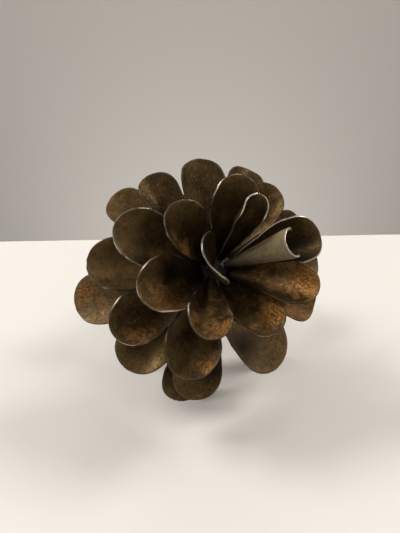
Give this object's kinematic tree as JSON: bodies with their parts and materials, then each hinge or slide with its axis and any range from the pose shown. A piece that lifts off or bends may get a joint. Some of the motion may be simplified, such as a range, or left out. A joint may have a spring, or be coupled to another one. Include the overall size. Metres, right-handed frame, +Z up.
{
  "type": "flower frog",
  "caption": "Open ball of rolled sheet-steel petals on a round core; flower stems stand in the gaps between the petals.",
  "frame": {"origin": "middle of the bounding box's base, on the table that the ball rests on", "axes": "+Z up, -Y towards the front where the bud leans, +X to the right seen from the front"},
  "size_m": [0.1146, 0.1093, 0.1126],
  "materials": {
    "petal_steel": "raw sheet steel, oiled, brown-grey with rust mottling and bright ground rims",
    "bright_steel": "raw sheet steel, paler and less rusted",
    "core_steel": "dark mill scale",
    "weld_steel": "dull weld metal"
  },
  "bodies": {
    "root": {"core": "core_steel", "weld_beads": "weld_steel", "bud_wrap": "petal_steel", "bud_scroll": "bright_steel", "inner_1": "petal_steel", "inner_2": "petal_steel", "inner_3": "petal_steel", "inner_4": "petal_steel", "inner_5": "petal_steel", "inner_6": "petal_steel", "inner_7": "petal_steel", "inner_8": "petal_steel", "middle_1": "petal_steel", "middle_2": "petal_steel", "middle_3": "petal_steel", "middle_4": "petal_steel", "middle_5": "petal_steel", "middle_6": "petal_steel", "middle_7": "petal_steel", "outer_1": "petal_steel", "outer_2": "petal_steel", "outer_3": "petal_steel", "outer_4": "petal_steel", "outer_5": "petal_steel", "outer_6": "petal_steel", "outer_7": "petal_steel", "outer_8": "petal_steel", "outer_9": "petal_steel", "outer_10": "petal_steel", "under_1": "petal_steel", "under_2": "petal_steel", "under_3": "petal_steel", "under_4": "petal_steel", "under_5": "petal_steel", "under_6": "petal_steel", "under_7": "petal_steel"}
  },
  "joints": []
}
